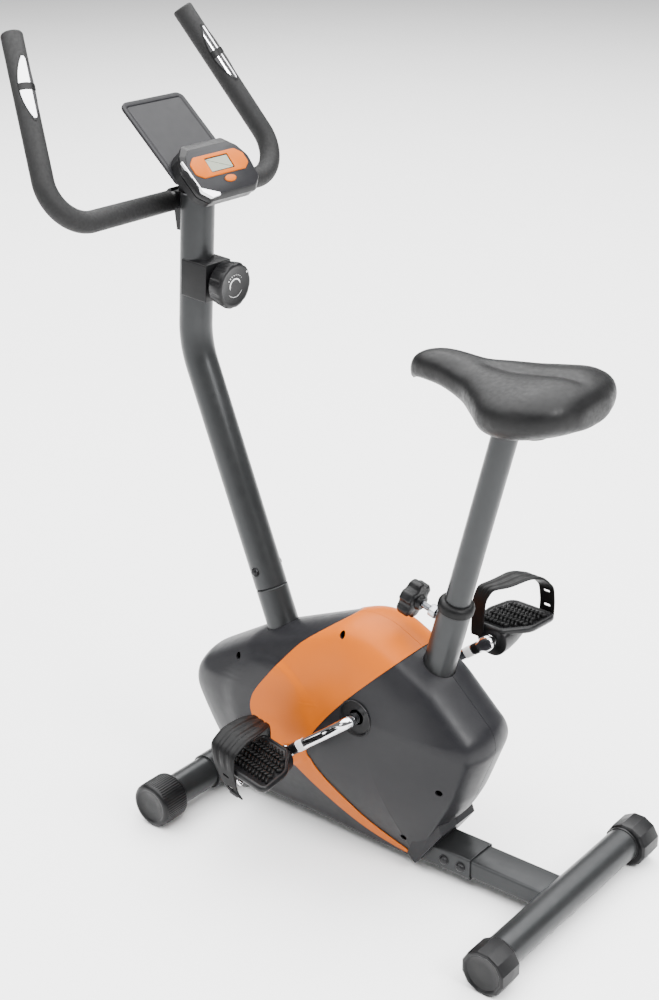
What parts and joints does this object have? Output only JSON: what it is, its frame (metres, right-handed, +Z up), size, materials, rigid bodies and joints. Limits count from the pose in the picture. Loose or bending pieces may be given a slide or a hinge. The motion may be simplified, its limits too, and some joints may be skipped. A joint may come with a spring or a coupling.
{
  "type": "exercise bike",
  "caption": "Upright magnetic exercise bike with a bent handlebar post, sliding seat post, tilting handlebar, pedal cranks and a small tilted console.",
  "frame": {"origin": "floor, under the middle of the bike's footprint", "axes": "+X towards the handlebar, +Y to the rider's left, +Z up"},
  "size_m": [0.8733, 0.4798, 1.1813],
  "materials": {
    "powder_coat": "satin metallic graphite",
    "housing_plastic": "glossy dark grey",
    "orange_plastic": "glossy orange",
    "black_plastic": "fine grained black",
    "black_rubber": "matt",
    "grip_foam": "matt closed-cell foam",
    "saddle_skin": "satin grained synthetic leather",
    "chrome": "polished",
    "steel": "zinc plated",
    "black_steel": "black oxide",
    "screen_glass": "clear window over a grey-green display"
  },
  "bodies": {
    "frame": {"main_beam": "powder_coat", "rear_stem": "powder_coat", "beam_bolt_1": "black_steel", "beam_bolt_2": "black_steel", "front_saddle": "powder_coat", "front_stabilizer": "powder_coat", "rear_stabilizer": "powder_coat", "post_stub": "powder_coat", "handlebar_post": "powder_coat", "post_bolt": "black_steel", "seat_tube": "powder_coat", "seat_bushing": "black_rubber", "seat_pin_nut": "steel", "crank_shell": "powder_coat", "left_housing": "housing_plastic", "right_housing": "housing_plastic", "left_orange_cover": "orange_plastic", "right_orange_cover": "orange_plastic", "housing_screw_1": "black_steel", "housing_screw_2": "black_steel", "flywheel_axle": "steel", "drive_belt": "black_rubber", "clamp_bracket": "black_steel", "clamp_cap": "black_steel", "tension_bracket": "black_plastic", "console_bracket": "black_steel", "device_holder": "housing_plastic", "console_body": "black_plastic", "console_bezel": "orange_plastic", "console_screen": "screen_glass"},
    "crank": {"crank_axle": "steel", "left_crank": "chrome", "right_crank": "chrome", "left_crank_bolt": "steel", "right_crank_bolt": "steel", "drive_pulley": "black_plastic", "left_pedal_spindle": "chrome", "right_pedal_spindle": "chrome"},
    "left_pedal": {"left_pedal": "black_plastic", "left_pedal_strap": "black_rubber"},
    "right_pedal": {"right_pedal": "black_plastic", "right_pedal_strap": "black_rubber"},
    "flywheel": {"flywheel": "steel"},
    "magnet_bracket": {"magnet_bracket": "steel"},
    "tension_knob": {"tension_knob": "black_plastic"},
    "seat": {"seat_post": "powder_coat", "saddle_clamp": "black_steel", "saddle_base": "black_plastic", "saddle_pad": "saddle_skin"},
    "seat_knob": {"seat_knob": "black_plastic"},
    "handlebar": {"handlebar": "powder_coat", "left_grip": "grip_foam", "right_grip": "grip_foam", "left_pulse_sensor": "chrome", "right_pulse_sensor": "chrome"},
    "console_button": {"console_button": "orange_plastic"},
    "left_roller_cap": {"left_roller_cap": "black_plastic"},
    "right_roller_cap": {"right_roller_cap": "black_plastic"},
    "left_level_cap": {"left_level_cap": "black_plastic"},
    "right_level_cap": {"right_level_cap": "black_plastic"}
  },
  "joints": [
    {"name": "flywheel_spin", "type": "hinge", "parent": "frame", "child": "flywheel", "pos_m": [0.072, 0, 0.203], "axis": [0, 1, 0], "continuous": true},
    {"name": "crank_spin", "type": "hinge", "parent": "frame", "child": "crank", "pos_m": [-0.0887, 0, 0.2462], "axis": [0, 1, 0], "continuous": true},
    {"name": "left_pedal_spin", "type": "hinge", "parent": "crank", "child": "left_pedal", "pos_m": [0.01499, 0.1076, 0.16664], "axis": [0, 1, 0], "continuous": true},
    {"name": "right_pedal_spin", "type": "hinge", "parent": "crank", "child": "right_pedal", "pos_m": [-0.19239, -0.1076, 0.32577], "axis": [0, 1, 0], "continuous": true},
    {"name": "tension_knob_turn", "type": "hinge", "parent": "frame", "child": "tension_knob", "pos_m": [0.25522, 0, 0.828], "axis": [-0.9969, 0, -0.0781], "range_deg": [-140, 140]},
    {"name": "magnet_swing", "type": "hinge", "parent": "frame", "child": "magnet_bracket", "pos_m": [0.11238, 0, 0.27893], "axis": [0, 1, 0], "range_deg": [-1.5, 1.5]},
    {"name": "seat_slide", "type": "slide", "parent": "frame", "child": "seat", "axis": [-0.2585, 0, 0.966], "range_m": [-0.2, 0.03]},
    {"name": "seat_knob_pull", "type": "slide", "parent": "frame", "child": "seat_knob", "axis": [0.966, 0, 0.2585], "range_m": [0, 0.008], "stiffness_N_per_m": 800},
    {"name": "handlebar_tilt", "type": "hinge", "parent": "frame", "child": "handlebar", "pos_m": [0.2845, 0, 0.9345], "axis": [0, 1, 0], "range_deg": [-15, 15]},
    {"name": "console_button_press", "type": "slide", "parent": "frame", "child": "console_button", "axis": [0.749, 0, -0.6626], "range_m": [0, 0.0015], "stiffness_N_per_m": 400},
    {"name": "left_roller_cap_spin", "type": "hinge", "parent": "frame", "child": "left_roller_cap", "pos_m": [0.2187, 0, 0.0356], "axis": [0, 1, 0], "continuous": true},
    {"name": "left_level_cap_turn", "type": "hinge", "parent": "frame", "child": "left_level_cap", "pos_m": [-0.402, 0, 0.0356], "axis": [0, 1, 0], "range_deg": [-90, 90]},
    {"name": "right_roller_cap_spin", "type": "hinge", "parent": "frame", "child": "right_roller_cap", "pos_m": [0.2187, 0, 0.0356], "axis": [0, 1, 0], "continuous": true},
    {"name": "right_level_cap_turn", "type": "hinge", "parent": "frame", "child": "right_level_cap", "pos_m": [-0.402, 0, 0.0356], "axis": [0, 1, 0], "range_deg": [-90, 90]}
  ],
  "couplings": [
    {"joint": "crank_spin", "follows": "flywheel_spin", "ratio": 0.16842},
    {"joint": "magnet_swing", "follows": "tension_knob_turn", "ratio": 0.010714}
  ]
}
